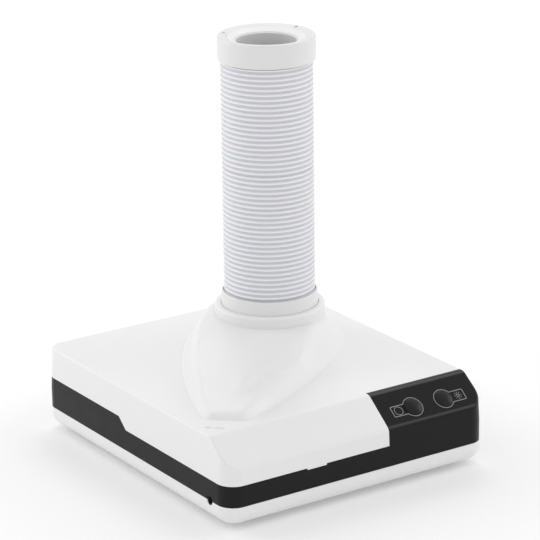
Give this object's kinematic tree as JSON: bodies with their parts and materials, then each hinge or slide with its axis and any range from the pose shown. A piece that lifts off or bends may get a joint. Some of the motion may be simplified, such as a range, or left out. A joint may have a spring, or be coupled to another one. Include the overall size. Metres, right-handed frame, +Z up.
{
  "type": "nail dust collector",
  "caption": "Desktop nail dust collector: flat gloss white box with a black band and corner console, and an upright ribbed suction hose with a lamp ring at its mouth.",
  "frame": {"origin": "on the floor, under the middle of the body's footprint", "axes": "+Z up, -Y towards the user at the front, where the console is, +X to the user's right"},
  "size_m": [0.22, 0.248, 0.2947],
  "materials": {
    "white_gloss": "gloss white moulded shell",
    "white_satin": "satin white moulding",
    "hose_vinyl": "satin white vinyl with a faint cool tint",
    "black_satin": "satin black, fine moulded texture",
    "black_button": "satin black, slightly smoother than the console",
    "black_moulding": "plain black moulding",
    "mark_silver": "thin grey raised line",
    "foot_rubber": "dull black rubber",
    "steel": "bright steel",
    "nickel": "bright nickel plate",
    "circuit_board": "green lacquered board",
    "wire_red": "red insulation",
    "dark_foam": "open cell foam",
    "grey_plastic": "light grey moulding",
    "motor_can": "zinc plated can",
    "impeller_plastic": "off-white moulding",
    "filter_paper": "pleated paper",
    "lamp_diffuser": "milky translucent plastic",
    "led_yellow": "phosphor in a clear chip"
  },
  "bodies": {
    "base": {"base_tray": "white_gloss", "rubber_feet": "foot_rubber", "mid_frame": "black_satin", "case_screws": "steel", "exhaust_grille": "black_satin", "exhaust_foam": "dark_foam", "dc_jack": "black_moulding", "dc_pin": "nickel", "console_marks": "mark_silver", "fan_switch": "black_moulding", "led_switch": "black_moulding", "fan_spring": "steel", "led_spring": "steel", "button_board": "circuit_board", "board_screws": "steel", "control_board": "circuit_board", "wiring": "wire_red", "partition_plate": "grey_plastic", "cover_seal": "dark_foam", "filter_gasket": "dark_foam", "blower_housing": "black_moulding", "outlet_duct": "black_moulding", "blower_lid": "black_moulding", "blower_screws": "steel", "motor": "motor_can"},
    "impeller": {"impeller": "impeller_plastic", "motor_shaft": "steel"},
    "filter": {"filter_frame": "white_satin", "filter_media": "filter_paper"},
    "fan_button": {"fan_button": "black_button"},
    "led_button": {"led_button": "black_button"},
    "cover": {"top_cover": "white_gloss"},
    "hose_base": {"hose_collar": "white_satin", "hose_lower": "hose_vinyl"},
    "hose_mid": {"hose_cuff": "white_satin", "hose_upper": "hose_vinyl"},
    "nozzle": {"nozzle_ring": "white_satin", "nozzle_screws": "steel", "lamp_diffuser": "lamp_diffuser", "lamp_board": "circuit_board", "lamp_leds": "led_yellow"}
  },
  "joints": [
    {"name": "fan_button_press", "type": "slide", "parent": "base", "child": "fan_button", "axis": [0, 0.6103, -0.7921], "range_m": [0, 0.0012], "stiffness_N_per_m": 400, "deforming": ["fan_spring"]},
    {"name": "led_button_press", "type": "slide", "parent": "base", "child": "led_button", "axis": [0, 0.6103, -0.7921], "range_m": [0, 0.0012], "stiffness_N_per_m": 400, "deforming": ["led_spring"]},
    {"name": "impeller_spin", "type": "hinge", "parent": "base", "child": "impeller", "pos_m": [-0.005, 0.012, 0.02], "axis": [0, 0, 1], "continuous": true},
    {"name": "cover_lift", "type": "slide", "parent": "base", "child": "cover", "axis": [0, 0, 1], "range_m": [0, 0.14]},
    {"name": "filter_lift", "type": "slide", "parent": "base", "child": "filter", "axis": [0, 0, 1], "range_m": [0, 0.07]},
    {"name": "hose_swivel", "type": "hinge", "parent": "cover", "child": "hose_base", "pos_m": [0.0335, 0.0378, 0.09], "axis": [0, 0, 1], "range_deg": [-90, 90]},
    {"name": "hose_extend", "type": "slide", "parent": "hose_base", "child": "hose_mid", "axis": [0, 0, 1], "range_m": [0, 0.1], "deforming": ["hose_lower"]},
    {"name": "hose_bend", "type": "hinge", "parent": "hose_mid", "child": "nozzle", "pos_m": [0.0335, 0.0378, 0.23724], "axis": [1, 0, 0], "range_deg": [-45, 45], "deforming": ["hose_upper"]}
  ],
  "couplings": [
    {"joint": "filter_lift", "follows": "cover_lift", "ratio": 0.5}
  ]
}
